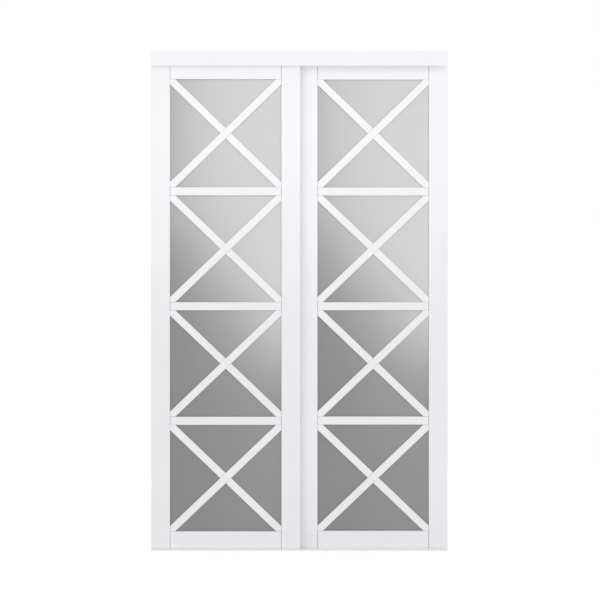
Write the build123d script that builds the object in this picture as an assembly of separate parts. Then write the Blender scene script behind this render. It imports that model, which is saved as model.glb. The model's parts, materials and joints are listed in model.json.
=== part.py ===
from build123d import *
import math
import os

os.makedirs("parts", exist_ok=True)

# Bypass sliding closet door set, two framed doors between a top track with a fascia and a low floor track.
# Millimetres. X runs to the right as seen from the room, Y runs into the closet, Z is up.
# The origin is on the floor, at the middle of the set's width and depth.

# ---- the set ----
SET_W = 1213.0          # width of the tracks and of the two closed doors
SET_H = 2042.0          # floor to the top of the top track
Y_SHIFT = 4.0           # moves the construction so that the depth is centred on Y = 0
PITCH = 35.0            # between the mid-planes of the front and the rear door

# ---- doors ----
DOOR_W = 610.0
DOOR_T = 30.0
DOOR_Z0 = 6.0           # underside of a door
DOOR_Z1 = 2002.0        # top of a door
STILE_W = 77.0
CELL_HEIGHTS = (435.0, 435.0, 436.5, 441.9)     # clear heights of the four glass openings, from the floor up
MID_RAIL_H = 33.0
FIRST_CELL_Z = 80.0     # top edge of the bottom rail
EASE = 0.8              # eased edges of the wooden pieces, which leave a fine V at each joint
JOINT_SLIT, JOINT_SLIT_D = 1.8, 5.0     # shadow gap cut into each end of a rail, at its faces
STRIP_GAP = 0.4         # play around a strip in its opening
GLASS_T = 4.0
GLASS_BITE = 8.0        # how far a pane enters its groove
GROOVE_D = 9.0
STRIP_W = 30.0          # crossed strips on the panes
STRIP_SET_BACK = 1.0    # strip face below the frame face
DOWEL_R, DOWEL_IN_STILE, DOWEL_IN_RAIL = 4.0, 15.0, 25.0

# ---- top track and fascia ----
WEB_T = 2.0
RIB_T = 1.6
CHANNEL_HALF = 8.75     # half the clear width of a guide channel
RIB_Z = 2005.0          # lower edge of the ribs
FASCIA_FRONT = -46.0    # before Y_SHIFT
FASCIA_T = 2.5
FASCIA_Z = 1981.0
LEG_FRONT = -38.0
LEG_REAR = 38.0
SCREW_X = (-560.0, -186.7, 186.7, 560.0)
HEADER_HOLE_R = 2.5
FLOOR_HOLE_R = 2.25

# ---- floor track ----
BASE_T = 2.0
LIP_H = 8.0             # lips along both sides of the floor track, in front of and behind the doors' lower edges
LIP_T = 1.6
BEAD_R = 2.0
BEAD_TOP = 9.0
FLOOR_RIB_HALF = 1.2
DOOR_GROOVE_HALF = 5.0  # groove under each door that clears the rolling rib
DOOR_GROOVE_Z = 13.0

# ---- bottom roller units, measured from the door's nearer edge ----
POCKET_U0, POCKET_U1, POCKET_HALF, POCKET_Z = 4.0, 60.0, 10.0, 46.0
HOUSE_U0, HOUSE_U1, HOUSE_HALF, HOUSE_Z0, HOUSE_Z1, SHEET = 4.5, 59.5, 9.8, 9.0, 45.8, 1.5
PIVOT_U, PIVOT_Z, PIVOT_R = 20.0, 25.5, 2.0
WHEEL_U, WHEEL_Z, WHEEL_R, WHEEL_HALF = 44.0, 19.2, 12.0, 4.5
ROLL_GAP = 0.3          # groove of the wheel to the bead
AXLE_R = 2.5
FIT = 0.05              # radial running fit
NOSE_RISE, NOSE_R = 14.0, 2.5
ARM_IN, ARM_OUT = 5.0, 6.5
ADJ_R, ADJ_LEN, ACCESS_R = 2.5, 12.0, 5.0

# ---- top guides ----
GUIDE_U = 38.5
GUIDE_POCKET = (14.0, 10.0, 1960.0)     # half X, half Y, floor of the pocket
SLEEVE_WALL_X, SLEEVE_WALL_Y = 1.8, 1.8
PLUNGER = (12.0, 8.0, 1984.0, 2021.0)   # half X, half Y, bottom, top
PLUNGER_BORE_R, PLUNGER_BORE_Z = 5.0, 2014.0
FLANGE_HALF, FLANGE_T = 26.0, 1.8
GUIDE_SCREW_U = 20.0
SPRING_RO, SPRING_RI = 4.5, 3.6
STOP_LEN, STOP_GAP = 22.0, 2.0


def box(x0, x1, y0, y1, z0, z1):
    return Pos((x0 + x1) / 2, (y0 + y1) / 2, (z0 + z1) / 2) * Box(x1 - x0, y1 - y0, z1 - z0)


def cyl_x(r, x0, x1, y, z):
    return Pos((x0 + x1) / 2, y, z) * Rot(0, 90, 0) * Cylinder(r, x1 - x0)


def cyl_y(r, x, y0, y1, z):
    return Pos(x, (y0 + y1) / 2, z) * Rot(90, 0, 0) * Cylinder(r, y1 - y0)


def cyl_z(r, x, y, z0, z1):
    return Pos(x, y, (z0 + z1) / 2) * Cylinder(r, z1 - z0)


def prism_xz(points, y0, y1):
    """A polygon in X and Z, extruded from y0 to y1."""
    face = make_face(Plane.XZ * Polyline(*points, close=True))
    return Pos(0, y0, 0) * extrude(face, amount=y1 - y0, dir=(0, 1, 0))


def prism_yz(points, x0, x1):
    face = make_face(Plane.YZ * Polyline(*points, close=True))
    return Pos(x0, 0, 0) * extrude(face, amount=x1 - x0, dir=(1, 0, 0))


def eased(solid, y_faces, size=EASE):
    """Chamfers every edge that lies in the planes y = each of y_faces."""
    edges = [e for e in solid.edges()
             if any(abs(e.center().Y - y) < 1e-6 and abs((e @ 0).Y - y) < 1e-6 and abs((e @ 1).Y - y) < 1e-6
                    for y in y_faces)]
    return chamfer(edges, size)


def solids_of(shape):
    return list(shape.solids())


def write(name, shapes):
    found = []
    for s in shapes if isinstance(shapes, (list, tuple)) else [shapes]:
        found += solids_of(s)
    body = found[0] if len(found) == 1 else Compound(children=found)
    body.label = name
    export_step(body, f"parts/{name}.step")


def flip(shape):
    """The same piece for the door's other edge."""
    return mirror(shape, about=Plane.YZ.offset(DOOR_W / 2))


# ------------------------------------------------------------------ one door
# Local frame: u = X from the door's left edge, y = 0 on its mid-plane, z from the floor.

INNER0, INNER1 = STILE_W, DOOR_W - STILE_W
OPEN_W = INNER1 - INNER0
CELLS = []
for height in CELL_HEIGHTS:
    start = CELLS[-1][1] + MID_RAIL_H if CELLS else FIRST_CELL_Z
    CELLS.append((start, start + height))
TOP_RAIL_Z = CELLS[-1][1]
HALF_T, HALF_G = DOOR_T / 2, GLASS_T / 2
DOWELS_BOTTOM, DOWELS_TOP = (26.0, 60.0), (1952.0, 1986.0)
ROLLER_SCREWS = ((10.5, 17.0), (53.0, 39.0))    # u and z of the two screws that hold a roller unit


def flat_head_screw_y(r, head_r, u, z, tip_y, face_y):
    """A countersunk screw along Y whose head is flush with face_y."""
    cone = head_r - r
    body = cyl_y(r, u, tip_y, face_y - cone, z)
    head = Pos(u, face_y - cone / 2, z) * Rot(-90, 0, 0) * Cone(r, head_r, cone)
    cross = (box(u - 2.0, u + 2.0, face_y - 1.1, face_y, z - 0.4, z + 0.4)
             + box(u - 0.4, u + 0.4, face_y - 1.1, face_y, z - 2.0, z + 2.0))
    return body + head, (body + head) - cross


def flat_head_screw_z(r, head_r, u, y, tip_z, face_z):
    cone = head_r - r
    body = cyl_z(r, u, y, tip_z, face_z - cone)
    head = Pos(u, y, face_z - cone / 2) * Cone(r, head_r, cone)
    cross = (box(u - 2.0, u + 2.0, y - 0.4, y + 0.4, face_z - 1.1, face_z)
             + box(u - 0.4, u + 0.4, y - 2.0, y + 2.0, face_z - 1.1, face_z))
    return body + head, (body + head) - cross


roller_screws, roller_screw_blanks = [], []
for u, z in ROLLER_SCREWS:
    blank, screw = flat_head_screw_y(2.0, 3.9, u, z, HOUSE_HALF - SHEET - 0.7, HALF_T)
    roller_screws += [screw, flip(screw)]
    roller_screw_blanks.append(blank)

guide_screws, guide_screw_blanks = [], []
for s in (-1, 1):
    blank, screw = flat_head_screw_z(1.75, 3.3, GUIDE_U + s * GUIDE_SCREW_U, 0, 1984.0, DOOR_Z1 + FLANGE_T)
    guide_screws += [screw, flip(screw)]
    guide_screw_blanks.append(blank)


def make_stile():
    """The left stile of a door. Grooved for the panes, with the pockets for its roller unit and top guide."""
    s = eased(box(0, STILE_W, -HALF_T, HALF_T, DOOR_Z0, DOOR_Z1), (-HALF_T, HALF_T))
    s -= box(STILE_W - GROOVE_D, STILE_W + 1, -HALF_G, HALF_G, FIRST_CELL_Z - GROOVE_D, TOP_RAIL_Z + GROOVE_D)
    s -= box(-1, STILE_W + 1, -DOOR_GROOVE_HALF, DOOR_GROOVE_HALF, DOOR_Z0 - 1, DOOR_GROOVE_Z)
    s -= box(POCKET_U0, POCKET_U1, -POCKET_HALF, POCKET_HALF, DOOR_Z0 - 1, POCKET_Z)
    s -= cyl_x(ACCESS_R, -1, POCKET_U0 + 0.5, 0, PIVOT_Z + NOSE_RISE)
    gx, gy, gz = GUIDE_POCKET
    s -= box(GUIDE_U - gx, GUIDE_U + gx, -gy, gy, gz, DOOR_Z1 + 1)
    for blank in roller_screw_blanks + guide_screw_blanks:
        s -= blank
    for z in DOWELS_BOTTOM + DOWELS_TOP:
        s -= cyl_x(DOWEL_R, STILE_W - DOWEL_IN_STILE, STILE_W + 1, 0, z)
    return s


def make_rail(z0, z1, groove_below, groove_above, dowel_zs, tenon, floor_groove=False):
    r = eased(box(INNER0, INNER1, -HALF_T, HALF_T, z0, z1), (-HALF_T, HALF_T))
    if groove_below:
        r -= box(INNER0 - 1, INNER1 + 1, -HALF_G, HALF_G, z0 - 1, z0 + GROOVE_D)
    if groove_above:
        r -= box(INNER0 - 1, INNER1 + 1, -HALF_G, HALF_G, z1 - GROOVE_D, z1 + 1)
    if floor_groove:
        r -= box(INNER0 - 1, INNER1 + 1, -DOOR_GROOVE_HALF, DOOR_GROOVE_HALF, z0 - 1, DOOR_GROOVE_Z)
    for y0, y1 in ((-HALF_T - 1, -HALF_T + JOINT_SLIT_D), (HALF_T - JOINT_SLIT_D, HALF_T + 1)):
        r -= box(INNER0 - 1, INNER0 + JOINT_SLIT, y0, y1, z0 - 1, z1 + 1)
        r -= box(INNER1 - JOINT_SLIT, INNER1 + 1, y0, y1, z0 - 1, z1 + 1)
    for z in dowel_zs:
        r -= cyl_x(DOWEL_R, INNER0 - 1, INNER0 + DOWEL_IN_RAIL, 0, z)
        r -= cyl_x(DOWEL_R, INNER1 - DOWEL_IN_RAIL, INNER1 + 1, 0, z)
    if tenon:
        lo, hi = z0 + GROOVE_D, z1 - GROOVE_D
        r += box(INNER0 - GROOVE_D, INNER0 + 1, -HALF_G, HALF_G, lo, hi)
        r += box(INNER1 - 1, INNER1 + GROOVE_D, -HALF_G, HALF_G, lo, hi)
    return r


stile = make_stile()
bottom_rail = make_rail(DOOR_Z0, FIRST_CELL_Z, False, True, DOWELS_BOTTOM, False, True)
top_rail = make_rail(TOP_RAIL_Z, DOOR_Z1, True, False, DOWELS_TOP, False)
mid_rails = [make_rail(CELLS[i][1], CELLS[i + 1][0], True, True, (), True) for i in range(3)]
dowels = []
for z in DOWELS_BOTTOM + DOWELS_TOP:
    d = cyl_x(DOWEL_R, INNER0 - DOWEL_IN_STILE, INNER0 + DOWEL_IN_RAIL, 0, z)
    d = chamfer(d.edges(), 0.8)
    dowels += [d, flip(d)]
glass = [box(INNER0 - GLASS_BITE, INNER1 + GLASS_BITE, -HALF_G, HALF_G, z0 - GLASS_BITE, z1 + GLASS_BITE)
         for z0, z1 in CELLS]

# Crossed strips. One runs the whole diagonal of its cell, the other is two pieces that butt against it.
def meet(p, a, q, b):
    """Where the line through p at angle a meets the line through q at angle b."""
    ax, az, bx, bz = math.cos(a), math.sin(a), math.cos(b), math.sin(b)
    t = ((q[0] - p[0]) * bz - (q[1] - p[1]) * bx) / (ax * bz - az * bx)
    return (p[0] + t * ax, p[1] + t * az)


def strip_outlines(w, h):
    """The outlines of the whole strip and of the two short ones, in an opening of width w and height h."""
    alpha = math.atan2(h, w)
    horiz, vert = STRIP_W / 2 / math.sin(alpha), STRIP_W / 2 / math.cos(alpha)
    gap = STRIP_GAP / math.cos(alpha)
    whole = [(0, 0), (horiz, 0), (w, h - vert), (w, h), (w - horiz, h), (0, vert)]
    short = [(0, h), (0, h - vert),
             meet((0, h - vert), -alpha, (0, vert + gap), alpha),
             meet((horiz, h), -alpha, (0, vert + gap), alpha),
             (horiz, h)]
    return [whole], [short, [(w - x, h - z) for x, z in short]]


def strips(which, front):
    out = []
    inner, outer = HALF_G, HALF_T - STRIP_SET_BACK
    y0, y1 = (-outer, -inner) if front else (inner, outer)
    for z0, z1 in CELLS:
        for outline in strip_outlines(OPEN_W - 2 * STRIP_GAP, z1 - z0 - 2 * STRIP_GAP)[which]:
            p = prism_xz([(INNER0 + STRIP_GAP + x, z0 + STRIP_GAP + z) for x, z in outline], y0, y1)
            out.append(eased(p, (y0 if front else y1,), 0.7))
    return out


# Bottom roller unit of the left stile.
house = box(HOUSE_U0, HOUSE_U1, -HOUSE_HALF, HOUSE_HALF, HOUSE_Z0, HOUSE_Z1)
house = chamfer([e for e in house.edges() if abs(e.center().Z - HOUSE_Z1) < 1e-6 and abs(abs(e.center().Y) - HOUSE_HALF) < 1e-6], 1.0)
house -= box(HOUSE_U0 + SHEET, HOUSE_U1 + 1, -HOUSE_HALF + SHEET, HOUSE_HALF - SHEET, HOUSE_Z0 - 1, HOUSE_Z1 - SHEET)
house -= box(HOUSE_U0 - 1, HOUSE_U0 + SHEET + 1, -HOUSE_HALF - 1, HOUSE_HALF + 1, HOUSE_Z0 - 1, PIVOT_Z)
house += cyl_x(4.5, HOUSE_U0 + 0.5, HOUSE_U0 + 4.0, 0, PIVOT_Z + NOSE_RISE)
house -= cyl_x(ADJ_R + FIT, HOUSE_U0 - 1, HOUSE_U0 + 6.0, 0, PIVOT_Z + NOSE_RISE)
house -= cyl_y(PIVOT_R, PIVOT_U, -20, 20, PIVOT_Z)
for blank in roller_screw_blanks:
    house -= blank

pivot_pin = cyl_y(PIVOT_R, PIVOT_U, -HOUSE_HALF, HOUSE_HALF, PIVOT_Z)
pivot_pin = chamfer(pivot_pin.edges().filter_by(GeomType.CIRCLE), 0.3)


def tangent_plate(circles, y0, y1):
    """A flat arm whose outline wraps the given circles two by two."""
    plate = None
    for (u, z, r) in circles:
        c = cyl_y(r, u, y0, y1, z)
        plate = c if plate is None else plate + c
    for (ua, za, ra), (ub, zb, rb) in zip(circles, circles[1:]):
        d = math.hypot(ub - ua, zb - za)
        base = math.atan2(zb - za, ub - ua)
        off = math.acos((ra - rb) / d)
        pts = [(ua + ra * math.cos(base + off), za + ra * math.sin(base + off)),
               (ub + rb * math.cos(base + off), zb + rb * math.sin(base + off)),
               (ub + rb * math.cos(base - off), zb + rb * math.sin(base - off)),
               (ua + ra * math.cos(base - off), za + ra * math.sin(base - off))]
        plate += prism_xz(pts, y0, y1)
    return plate


ARM = [(PIVOT_U, PIVOT_Z + NOSE_RISE, 4.0), (PIVOT_U, PIVOT_Z, 5.0), (WHEEL_U, WHEEL_Z, 5.0)]
lever = tangent_plate(ARM, -ARM_OUT, -ARM_IN) + tangent_plate(ARM, ARM_IN, ARM_OUT)
lever += cyl_y(NOSE_R, PIVOT_U, -ARM_IN - 0.5, ARM_IN + 0.5, PIVOT_Z + NOSE_RISE)
lever -= cyl_y(PIVOT_R + FIT, PIVOT_U, -20, 20, PIVOT_Z)
lever -= cyl_y(AXLE_R, WHEEL_U, -20, 20, WHEEL_Z)

axle = cyl_y(AXLE_R, WHEEL_U, -7.2, 7.2, WHEEL_Z)
axle += cyl_y(3.5, WHEEL_U, ARM_OUT, 7.2, WHEEL_Z)
axle += cyl_y(3.5, WHEEL_U, -7.2, -ARM_OUT, WHEEL_Z)

wheel = cyl_y(WHEEL_R, WHEEL_U, -WHEEL_HALF, WHEEL_HALF, WHEEL_Z)
wheel = chamfer(wheel.edges().filter_by(GeomType.CIRCLE), 0.6)
wheel -= Pos(WHEEL_U, 0, WHEEL_Z) * Rot(90, 0, 0) * Torus(WHEEL_Z - (BEAD_TOP - BEAD_R), BEAD_R + ROLL_GAP)
wheel -= cyl_y(AXLE_R + FIT, WHEEL_U, -20, 20, WHEEL_Z)
for y0, y1 in ((WHEEL_HALF - 1.2, WHEEL_HALF + 1), (-WHEEL_HALF - 1, -WHEEL_HALF + 1.2)):
    wheel -= cyl_y(8.0, WHEEL_U, y0, y1, WHEEL_Z) - cyl_y(4.6, WHEEL_U, y0 - 1, y1 + 1, WHEEL_Z)

ADJ_TIP = PIVOT_U - NOSE_R - 0.3
adj_screw = cyl_x(ADJ_R, ADJ_TIP - ADJ_LEN, ADJ_TIP, 0, PIVOT_Z + NOSE_RISE)
adj_screw = chamfer(adj_screw.edges().filter_by(GeomType.CIRCLE), 0.5)
hex_face = Plane(origin=(ADJ_TIP - ADJ_LEN, 0, PIVOT_Z + NOSE_RISE), x_dir=(0, 1, 0), z_dir=(1, 0, 0)) * RegularPolygon(1.25, 6, major_radius=False)
adj_screw -= extrude(hex_face, amount=2.8)

# Top guide of the left stile.
gx, gy, gz = GUIDE_POCKET
px, py, pz0, pz1 = PLUNGER
sleeve = box(GUIDE_U - gx, GUIDE_U + gx, -gy, gy, gz, DOOR_Z1 + FLANGE_T)
flange = box(GUIDE_U - FLANGE_HALF, GUIDE_U + FLANGE_HALF, -gy, gy, DOOR_Z1, DOOR_Z1 + FLANGE_T)
flange = chamfer(flange.edges().filter_by(Axis.Z), 3.0)
sleeve += flange
sleeve -= box(GUIDE_U - gx + SLEEVE_WALL_X, GUIDE_U + gx - SLEEVE_WALL_X, -gy + SLEEVE_WALL_Y, gy - SLEEVE_WALL_Y, gz + 2.0, DOOR_Z1 + FLANGE_T + 1)
sleeve -= box(GUIDE_U - gx - 1, GUIDE_U + gx + 1, -3.0, 3.0, gz + 5.0, 1990.0)
for blank in guide_screw_blanks:
    sleeve -= blank

plunger = box(GUIDE_U - px, GUIDE_U + px, -py, py, pz0, pz1)
plunger = fillet([e for e in plunger.edges() if abs(e.center().Z - pz1) < 1e-6] + list(plunger.edges().filter_by(Axis.Z)), 1.8)
plunger -= cyl_z(PLUNGER_BORE_R, GUIDE_U, 0, pz0 - 1, PLUNGER_BORE_Z)
plunger += box(GUIDE_U + px - 1.0, GUIDE_U + px + 1.2, -2.7, 2.7, pz0 + 2.0, 1989.8)
plunger += box(GUIDE_U - px - 1.2, GUIDE_U - px + 1.0, -2.7, 2.7, pz0 + 2.0, 1989.8)

spring = cyl_z(SPRING_RO, GUIDE_U, 0, gz + 2.0, PLUNGER_BORE_Z) - cyl_z(SPRING_RI, GUIDE_U, 0, gz, PLUNGER_BORE_Z + 2)

DOOR_PIECES = {
    "stile_left": [stile],
    "stile_right": [flip(stile)],
    "top_rail": [top_rail],
    "bottom_rail": [bottom_rail],
    "mid_rails": mid_rails,
    "glass_panes": glass,
    "x_long_strips_front": strips(0, True),
    "x_short_strips_front": strips(1, True),
    "x_long_strips_back": strips(0, False),
    "x_short_strips_back": strips(1, False),
    "dowels": dowels,
    "roller_housings": [house, flip(house)],
    "roller_pivot_pins": [pivot_pin, flip(pivot_pin)],
    "roller_screws": roller_screws,
    "roller_lever_left": [lever],
    "roller_lever_right": [flip(lever)],
    "roller_axle_left": [axle],
    "roller_axle_right": [flip(axle)],
    "roller_wheel_left": [wheel],
    "roller_wheel_right": [flip(wheel)],
    "adjusting_screw_left": [adj_screw],
    "adjusting_screw_right": [flip(adj_screw)],
    "guide_sleeves": [sleeve, flip(sleeve)],
    "guide_screws": guide_screws,
    "guide_plunger_left": [plunger],
    "guide_plunger_right": [flip(plunger)],
    "guide_spring_left": [spring],
    "guide_spring_right": [flip(spring)],
}

DOOR_PLACES = {
    "front": Pos(-SET_W / 2, Y_SHIFT - PITCH / 2, 0),
    "rear": Pos(SET_W / 2 - DOOR_W, Y_SHIFT + PITCH / 2, 0),
}
for door, place in DOOR_PLACES.items():
    for piece, shapes in DOOR_PIECES.items():
        write(f"{door}_{piece}", [place * s for s in shapes])

# ------------------------------------------------------------------ tracks
X0, X1 = -SET_W / 2, SET_W / 2
WEB_Z = SET_H - WEB_T


def shifted(points):
    return [(y + Y_SHIFT, z) for y, z in points]


track = box(X0, X1, FASCIA_FRONT + FASCIA_T + Y_SHIFT, LEG_REAR + Y_SHIFT, WEB_Z, SET_H)
track += box(X0, X1, LEG_FRONT + Y_SHIFT, LEG_FRONT + RIB_T + Y_SHIFT, 2008.7, WEB_Z)
track += box(X0, X1, LEG_REAR - RIB_T + Y_SHIFT, LEG_REAR + Y_SHIFT, RIB_Z, WEB_Z)
for centre in (-PITCH / 2, PITCH / 2):
    for side in (-1, 1):
        a = centre + side * CHANNEL_HALF
        b = a + side * RIB_T
        track += box(X0, X1, min(a, b) + Y_SHIFT, max(a, b) + Y_SHIFT, RIB_Z, WEB_Z)
for x in SCREW_X:
    track -= cyl_z(HEADER_HOLE_R, x, Y_SHIFT, WEB_Z - 1, SET_H + 1)
write("top_track", track)

stops = []
stop_x = DOOR_W + X0 - (DOOR_W - GUIDE_U + PLUNGER[0]) - STOP_GAP
for centre in (-PITCH / 2, PITCH / 2):
    yc = centre + Y_SHIFT
    stop = box(stop_x - STOP_LEN, stop_x, yc - CHANNEL_HALF, yc + CHANNEL_HALF, 2010.0, WEB_Z)
    stop = chamfer([e for e in stop.edges() if abs(e.center().Z - 2010.0) < 1e-6], 1.0)
    stop -= box(stop_x - STOP_LEN - 1, stop_x + 1, yc - 1.5, yc + 1.5, 2009.0, 2030.0)
    stops += [stop, mirror(stop, about=Plane.YZ)]
write("track_stops", stops)

back = FASCIA_FRONT + FASCIA_T
outline = shifted([
    (FASCIA_FRONT, FASCIA_Z), (FASCIA_FRONT, SET_H), (back, SET_H), (back, WEB_Z),
    (LEG_FRONT, WEB_Z), (LEG_FRONT, WEB_Z - 1.8), (back, WEB_Z - 1.8),
    (back, 2008.5), (-36.2, 2008.5), (-36.2, 2011.5), (-34.6, 2011.5), (-34.6, 2006.9), (back, 2006.9),
    (back, FASCIA_Z + 2.0), (-37.0, FASCIA_Z + 2.0), (-37.0, FASCIA_Z)])
face = make_face(Plane.YZ * Polyline(*outline, close=True))
front_y = FASCIA_FRONT + Y_SHIFT
low = [v for v in face.vertices() if abs(v.Y - front_y) < 1e-6 and abs(v.Z - FASCIA_Z) < 1e-6]
face = fillet(low, 1.2)
face = fillet([v for v in face.vertices() if abs(v.Y - front_y) < 1e-6 and abs(v.Z - SET_H) < 1e-6], 0.8)
write("fascia", Pos(X0, 0, 0) * extrude(face, amount=SET_W, dir=(1, 0, 0)))

floor_outline = shifted([
    (LEG_FRONT, 0), (LEG_FRONT, LIP_H - 0.6), (LEG_FRONT + 0.6, LIP_H), (LEG_FRONT + LIP_T, LIP_H),
    (LEG_FRONT + LIP_T, BASE_T), (LEG_REAR - LIP_T, BASE_T), (LEG_REAR - LIP_T, LIP_H),
    (LEG_REAR - 0.6, LIP_H), (LEG_REAR, LIP_H - 0.6), (LEG_REAR, 0)])
floor_track = prism_yz(floor_outline, X0, X1)
for centre in (-PITCH / 2, PITCH / 2):
    yc = centre + Y_SHIFT
    floor_track += box(X0, X1, yc - FLOOR_RIB_HALF, yc + FLOOR_RIB_HALF, BASE_T - 0.5, BEAD_TOP - BEAD_R)
    floor_track += cyl_x(BEAD_R, X0, X1, yc, BEAD_TOP - BEAD_R)
for x in SCREW_X:
    floor_track -= cyl_z(FLOOR_HOLE_R, x, Y_SHIFT, -1, BASE_T + 1)
write("floor_track", floor_track)
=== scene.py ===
import json
import math

import bmesh
import bpy
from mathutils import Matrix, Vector


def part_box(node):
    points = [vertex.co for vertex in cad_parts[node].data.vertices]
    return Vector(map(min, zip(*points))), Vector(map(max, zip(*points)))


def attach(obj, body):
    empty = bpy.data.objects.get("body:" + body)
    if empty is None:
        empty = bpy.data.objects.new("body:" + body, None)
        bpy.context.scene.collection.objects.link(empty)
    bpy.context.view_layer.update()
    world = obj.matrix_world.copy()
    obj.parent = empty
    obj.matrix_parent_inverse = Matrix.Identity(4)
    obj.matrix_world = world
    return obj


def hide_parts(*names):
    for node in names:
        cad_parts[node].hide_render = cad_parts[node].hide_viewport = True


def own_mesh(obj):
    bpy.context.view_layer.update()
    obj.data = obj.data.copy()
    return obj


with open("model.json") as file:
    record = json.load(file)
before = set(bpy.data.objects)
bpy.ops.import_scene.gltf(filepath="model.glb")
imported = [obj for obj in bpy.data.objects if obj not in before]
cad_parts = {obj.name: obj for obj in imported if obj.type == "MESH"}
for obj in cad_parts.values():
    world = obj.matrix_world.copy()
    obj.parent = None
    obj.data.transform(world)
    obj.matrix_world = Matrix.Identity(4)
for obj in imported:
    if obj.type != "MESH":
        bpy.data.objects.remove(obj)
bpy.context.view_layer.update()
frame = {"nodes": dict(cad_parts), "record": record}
scene = bpy.context.scene
nodes = frame["nodes"]


# ------------------------------------------------------------------ camera
# Seen straight on from the room, a little above the middle of the set, through a long lens.
SCALE = 0.004084            # metres a pixel at the doors' plane, on a 600 pixel frame
DIST = 16.0
cam_data = bpy.data.cameras.new("camera")
cam_data.sensor_width = 36.0
cam_data.lens = 36.0 * DIST / (600 * SCALE)
cam_data.clip_start = 0.05
cam_data.clip_end = 200.0
cam = bpy.data.objects.new("camera", cam_data)
cam.location = (0.002, -0.03 - DIST, 1.0250)
cam.rotation_euler = (math.pi / 2, 0, 0)
scene.collection.objects.link(cam)
scene.camera = cam

scene.view_settings.view_transform = "Standard"
scene.view_settings.look = "None"
scene.view_settings.exposure = 0.0
scene.view_settings.gamma = 1.0


# ------------------------------------------------------------------ light
world = bpy.data.worlds.new("world")
scene.world = world
world.use_nodes = True
bg = world.node_tree.nodes["Background"]
bg.inputs["Color"].default_value = (1.0, 1.0, 1.0, 1.0)
bg.inputs["Strength"].default_value = 1.0


def area(name, at, aim, size_x, size_y, power, colour=(1, 1, 1), glossy=True, diffuse=True):
    data = bpy.data.lights.new(name, "AREA")
    data.shape = "RECTANGLE"
    data.size, data.size_y = size_x, size_y
    data.energy = power
    data.color = colour
    o = bpy.data.objects.new(name, data)
    o.location = at
    o.rotation_euler = (Vector(aim) - Vector(at)).to_track_quat("-Z", "Y").to_euler()
    o.visible_camera = False
    o.visible_glossy = glossy
    o.visible_diffuse = diffuse
    scene.collection.objects.link(o)
    return o


def radiance(size_x, size_y, level):
    """The power of an area light of this size whose face has this brightness."""
    return level * size_x * size_y * math.pi


# Soft cards on the room side, seen only in the gloss of the panes. Each door has three side by side, stepped down
# to the right, and a dim one below them. Light linking keeps each set to its own door's panes.
CARD_Y, CARD_TOP, CARD_LEVEL, DIM_LEVEL = -1.0, 4.0, 2.18, 0.24
CARDS = ((-0.04, 0.12, 1.31, CARD_TOP, CARD_LEVEL),     # from, to, lower edge, upper edge, level
         (0.12, 0.34, 1.07, CARD_TOP, CARD_LEVEL),
         (0.34, 2.60, 0.77, CARD_TOP, CARD_LEVEL),
         (0.20, 2.60, 0.02, 1.30, DIM_LEVEL))
for door, lift in (("front", 0.0), ("rear", 0.02)):
    lit = bpy.data.collections.new(f"{door}_panes")
    lit.objects.link(nodes[f"{door}_glass_panes"])
    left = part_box(f"{door}_glass_panes")[0][0] + 0.008
    for i, (u0, u1, low, high, level) in enumerate(CARDS):
        low += lift
        x, z = left + (u0 + u1) / 2, (low + high) / 2
        card = area(f"card_{door}_{i}", (x, CARD_Y, z), (x, 0, z), u1 - u0, high - low,
                    radiance(u1 - u0, high - low, level), diffuse=False)
        card.light_linking.receiver_collection = lit
# A soft frontal strip at the height of the upper panes. Its fall-off makes the doors a little brighter at the top.
KEY_X, KEY_Z = 3.0, 0.35
area("key", (0.0, -0.90, 1.76), (0.0, 0.0, 1.76), KEY_X, KEY_Z, radiance(KEY_X, KEY_Z, 1.48), glossy=False)
# A weaker strip near the floor, which opens the shade at the foot of the rear door.
area("low_fill", (0.3, -0.98, 0.14), (0.3, 0.0, 0.06), 2.6, 0.2, radiance(2.6, 0.2, 0.8), glossy=False)
# Thin strips close to the rear door's frame, linked to it alone. They open the shade of the fascia, the floor track
# and the front door's edge, each by its short reach.
rear_frame = bpy.data.collections.new("rear_frame")
for name in ("rear_stile_left", "rear_stile_right", "rear_top_rail", "rear_mid_rails", "rear_bottom_rail",
             "rear_x_long_strips_front", "rear_x_short_strips_front"):
    rear_frame.objects.link(nodes[name])
X_MID, Z_MID = 0.305, 1.0
for name, at, size_x, size_y, level in (("under_fascia", (X_MID, -0.050, 1.955), 0.60, 0.02, 0.72),
                                        ("at_foot", (X_MID, -0.020, 0.014), 0.60, 0.01, 1.15),
                                        ("at_edge", (0.055, -0.074, Z_MID), 0.02, 1.94, 0.42)):
    strip = area(name, at, (at[0], 0.5, at[2]), size_x, size_y, radiance(size_x, size_y, level), glossy=False)
    strip.light_linking.receiver_collection = rear_frame
# The same at the foot of the front door, just over the lip of the floor track.
front_foot = bpy.data.collections.new("front_foot")
for name in ("front_stile_left", "front_stile_right", "front_bottom_rail"):
    front_foot.objects.link(nodes[name])
strip = area("at_front_foot", (-0.3015, -0.0365, 0.0145), (-0.3015, 0.5, 0.0145), 0.61, 0.004, radiance(0.61, 0.004, 0.42),
             glossy=False)
strip.light_linking.receiver_collection = front_foot


# ------------------------------------------------------------------ floor
def floor_material():
    m = bpy.data.materials.new("floor_pale")
    m.use_nodes = True
    p = m.node_tree.nodes["Principled BSDF"]
    p.inputs["Base Color"].default_value = (0.86, 0.86, 0.86, 1)
    p.inputs["Roughness"].default_value = 0.9
    p.inputs["Specular IOR Level"].default_value = 0.1
    p.inputs["Emission Color"].default_value = (1, 1, 1, 1)
    p.inputs["Emission Strength"].default_value = 0.26
    return m


bpy.ops.mesh.primitive_grid_add(x_subdivisions=4, y_subdivisions=4, size=16.0, location=(0, 0, 0))
floor = bpy.context.active_object
floor.name = "floor"
floor.data.materials.append(floor_material())


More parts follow.
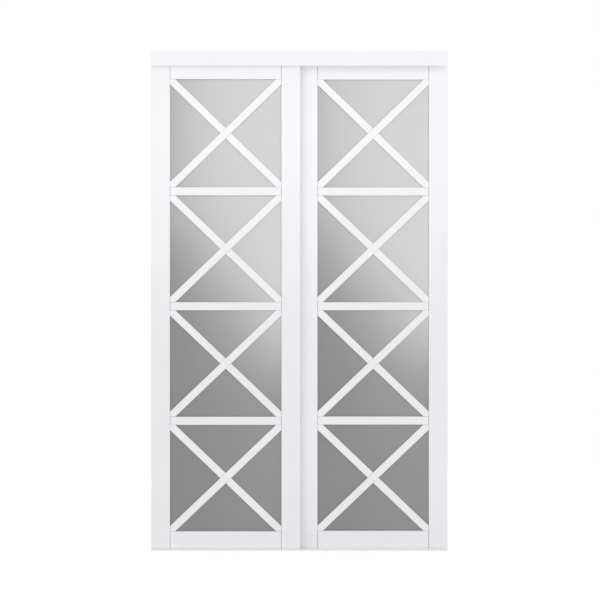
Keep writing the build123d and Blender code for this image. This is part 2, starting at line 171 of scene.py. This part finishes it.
# ------------------------------------------------------------------ materials
class Net:
    """A small helper to write node trees."""

    def __init__(self, name):
        self.m = bpy.data.materials.new(name)
        self.m.use_nodes = True
        self.t = self.m.node_tree
        self.p = self.t.nodes["Principled BSDF"]

    def node(self, kind, **inputs):
        n = self.t.nodes.new(kind)
        for k, v in inputs.items():
            n.inputs[k.replace("_", " ")].default_value = v
        return n

    def link(self, a, b):
        self.t.links.new(a, b)

    def coords(self, scale=(1, 1, 1), rotation=(0, 0, 0)):
        tc = self.t.nodes.new("ShaderNodeTexCoord")
        mp = self.t.nodes.new("ShaderNodeMapping")
        mp.inputs["Scale"].default_value = scale
        mp.inputs["Rotation"].default_value = rotation
        self.link(tc.outputs["Object"], mp.inputs["Vector"])
        return mp.outputs["Vector"]

    def noise(self, vector, scale, detail=2.0, rough=0.5):
        n = self.node("ShaderNodeTexNoise", Scale=scale, Detail=detail, Roughness=rough)
        self.link(vector, n.inputs["Vector"])
        return n.outputs["Fac"]

    def ramp(self, value, stops):
        r = self.t.nodes.new("ShaderNodeValToRGB")
        e = r.color_ramp.elements
        e[0].position, e[0].color = stops[0][0], (*stops[0][1], 1)
        e[1].position, e[1].color = stops[-1][0], (*stops[-1][1], 1)
        for pos, col in stops[1:-1]:
            n = e.new(pos)
            n.color = (*col, 1)
        self.link(value, r.inputs["Fac"])
        return r.outputs["Color"]

    def range(self, value, lo, hi, from_lo=0.3, from_hi=0.7):
        r = self.t.nodes.new("ShaderNodeMapRange")
        r.inputs["From Min"].default_value = from_lo
        r.inputs["From Max"].default_value = from_hi
        r.inputs["To Min"].default_value = lo
        r.inputs["To Max"].default_value = hi
        self.link(value, r.inputs["Value"])
        return r.outputs["Result"]

    def add(self, a, b, wa=1.0, wb=1.0):
        m1 = self.t.nodes.new("ShaderNodeMath"); m1.operation = "MULTIPLY"; m1.inputs[1].default_value = wa
        m2 = self.t.nodes.new("ShaderNodeMath"); m2.operation = "MULTIPLY_ADD"; m2.inputs[1].default_value = wb
        self.link(a, m1.inputs[0])
        self.link(b, m2.inputs[0])
        self.link(m1.outputs[0], m2.inputs[2])
        return m2.outputs[0]

    def bump(self, height, strength, distance):
        b = self.node("ShaderNodeBump", Strength=strength, Distance=distance)
        self.link(height, b.inputs["Height"])
        self.link(b.outputs["Normal"], self.p.inputs["Normal"])

    def set(self, **inputs):
        for k, v in inputs.items():
            self.p.inputs[k.replace("_", " ")].default_value = v
        return self


def scaled(c, k):
    return tuple(min(1.0, x * k) for x in c)


def foil(name, colour):
    """White foil over fibreboard: a fine pressed texture, faint cloudiness and slightly uneven gloss."""
    n = Net(name)
    v = n.coords()
    cloud = n.noise(v, 7.0, 3.0)
    n.link(n.ramp(cloud, [(0.3, scaled(colour, 0.985)), (0.7, scaled(colour, 1.008))]), n.p.inputs["Base Color"])
    fine = n.noise(v, 1400.0, 2.0)
    grain = n.noise(n.coords(scale=(900, 900, 60)), 1.0, 2.0)
    n.link(n.range(cloud, 0.42, 0.52), n.p.inputs["Roughness"])
    n.bump(n.add(fine, grain, 1.0, 0.6), 0.10, 0.00025)
    n.set(Specular_IOR_Level=0.35)
    return n.m


def powder(name, colour):
    """Powder coat on extruded aluminium: orange peel, with faint draw lines along X."""
    n = Net(name)
    v = n.coords()
    cloud = n.noise(v, 9.0, 2.0)
    n.link(n.ramp(cloud, [(0.3, scaled(colour, 0.985)), (0.7, scaled(colour, 1.01))]), n.p.inputs["Base Color"])
    peel = n.noise(v, 700.0, 1.0)
    lines = n.noise(n.coords(scale=(3, 700, 700)), 1.0, 2.0)
    n.link(n.range(peel, 0.33, 0.42), n.p.inputs["Roughness"])
    n.bump(n.add(peel, lines, 1.0, 0.5), 0.15, 0.0003)
    n.set(Specular_IOR_Level=0.4)
    return n.m


def satin_glass(name):
    n = Net(name)
    v = n.coords()
    cloud = n.noise(v, 2.2, 2.0)
    n.link(n.ramp(cloud, [(0.3, (0.229, 0.225, 0.226)), (0.7, (0.238, 0.235, 0.236))]), n.p.inputs["Base Color"])
    etch = n.noise(v, 2600.0, 2.0)
    n.link(n.range(cloud, 0.30, 0.33), n.p.inputs["Roughness"])
    n.bump(etch, 0.05, 0.0001)
    n.set(Metallic=0.85, Coat_Weight=0.06, Coat_Roughness=0.22, Specular_IOR_Level=0.5)
    return n.m


def pressed_zinc(name):
    n = Net(name)
    v = n.coords()
    spangle = n.node("ShaderNodeTexVoronoi", Scale=260.0)
    n.link(v, spangle.inputs["Vector"])
    n.link(n.ramp(spangle.outputs["Distance"], [(0.0, (0.56, 0.57, 0.59)), (0.7, (0.68, 0.69, 0.71))]), n.p.inputs["Base Color"])
    roll = n.noise(n.coords(scale=(40, 40, 1500)), 1.0, 2.0)
    n.link(n.range(roll, 0.28, 0.42), n.p.inputs["Roughness"])
    n.bump(roll, 0.12, 0.0002)
    n.set(Metallic=1.0)
    return n.m


def bright_steel(name):
    n = Net(name)
    turned = n.noise(n.coords(scale=(2600, 300, 2600)), 1.0, 2.0)
    n.link(n.ramp(turned, [(0.3, (0.60, 0.60, 0.61)), (0.7, (0.74, 0.74, 0.75))]), n.p.inputs["Base Color"])
    n.link(n.range(turned, 0.18, 0.32), n.p.inputs["Roughness"])
    n.bump(turned, 0.08, 0.00015)
    n.set(Metallic=1.0)
    return n.m


def nylon(name, colour):
    n = Net(name)
    v = n.coords()
    cloud = n.noise(v, 90.0, 2.0)
    n.link(n.ramp(cloud, [(0.3, scaled(colour, 0.94)), (0.7, scaled(colour, 1.04))]), n.p.inputs["Base Color"])
    spark = n.noise(v, 2400.0, 2.0)
    n.link(n.range(spark, 0.40, 0.55), n.p.inputs["Roughness"])
    n.bump(spark, 0.15, 0.00015)
    n.set(Subsurface_Weight=0.08, Subsurface_Scale=0.002)
    return n.m


def beech(name):
    n = Net(name)
    rings = n.noise(n.coords(scale=(20, 420, 420)), 1.0, 3.0)
    fleck = n.noise(n.coords(scale=(300, 1800, 1800)), 1.0, 2.0)
    n.link(n.ramp(n.add(rings, fleck, 0.75, 0.25), [(0.35, (0.50, 0.33, 0.19)), (0.5, (0.62, 0.44, 0.27)), (0.65, (0.70, 0.53, 0.35))]),
           n.p.inputs["Base Color"])
    n.link(n.range(fleck, 0.5, 0.65), n.p.inputs["Roughness"])
    n.bump(fleck, 0.2, 0.0002)
    return n.m


MATERIALS = {
    "frame_foil": foil("frame_foil", (0.710, 0.710, 0.743)),
    "strip_foil": foil("strip_foil", (0.720, 0.720, 0.720)),
    "satin_glass": satin_glass("satin_glass"),
    "white_aluminium": powder("white_aluminium", (0.708, 0.709, 0.747)),
    "zinc_steel": pressed_zinc("zinc_steel"),
    "bright_steel": bright_steel("bright_steel"),
    "grey_nylon": nylon("grey_nylon", (0.19, 0.20, 0.21)),
    "white_nylon": nylon("white_nylon", (0.74, 0.74, 0.71)),
    "beech": beech("beech"),
}
slot_of = {s["node"]: s["material_slot"] for s in frame["record"]["subparts"]}
for name, obj in nodes.items():
    obj.data.materials.clear()
    obj.data.materials.append(MATERIALS[slot_of[name]])


# ------------------------------------------------------------------ coil springs of the top guides
def coil(name, centre, low, high, radius, wire, turns, closed_turns=1.25, around=40, sides=10):
    """A compression spring along Z with closed, ground end turns."""
    bm = bmesh.new()
    total = turns + 2 * closed_turns
    steps = int(total * around)
    pitch_closed = wire * 1.02
    free = (high - low - wire) - 2 * closed_turns * pitch_closed
    rings = []
    for i in range(steps + 1):
        t = total * i / steps
        if t < closed_turns:
            z = low + wire / 2 + t * pitch_closed
        elif t > total - closed_turns:
            z = high - wire / 2 - (total - t) * pitch_closed
        else:
            z = low + wire / 2 + closed_turns * pitch_closed + (t - closed_turns) / turns * free
        a = 2 * math.pi * t
        c = Vector((centre[0] + radius * math.cos(a), centre[1] + radius * math.sin(a), z))
        out = Vector((math.cos(a), math.sin(a), 0))
        up = Vector((0, 0, 1))
        ring = []
        for k in range(sides):
            b = 2 * math.pi * k / sides
            q = c + out * (wire / 2 * math.cos(b)) + up * (wire / 2 * math.sin(b))
            q.z = min(max(q.z, low), high)
            ring.append(bm.verts.new(q))
        rings.append(ring)
    for r0, r1 in zip(rings, rings[1:]):
        for k in range(sides):
            bm.faces.new((r0[k], r0[(k + 1) % sides], r1[(k + 1) % sides], r1[k]))
    bm.faces.new(list(reversed(rings[0])))
    bm.faces.new(rings[-1])
    bmesh.ops.recalc_face_normals(bm, faces=bm.faces)
    mesh = bpy.data.meshes.new(name)
    bm.to_mesh(mesh)
    bm.free()
    mesh.polygons.foreach_set("use_smooth", [True] * len(mesh.polygons))
    o = bpy.data.objects.new(name, mesh)
    scene.collection.objects.link(o)
    mesh.materials.append(MATERIALS["bright_steel"])
    return o


for door in ("front", "rear"):
    for side in ("left", "right"):
        node = f"{door}_guide_spring_{side}"
        lo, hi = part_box(node)
        cx, cy = (lo[0] + hi[0]) / 2, (lo[1] + hi[1]) / 2
        s = coil(f"{door}_coil_spring_{side}", (cx, cy), lo[2], hi[2], 0.00405, 0.0009, 12)
        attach(s, f"{door}_door")
        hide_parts(node)
        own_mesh(s)
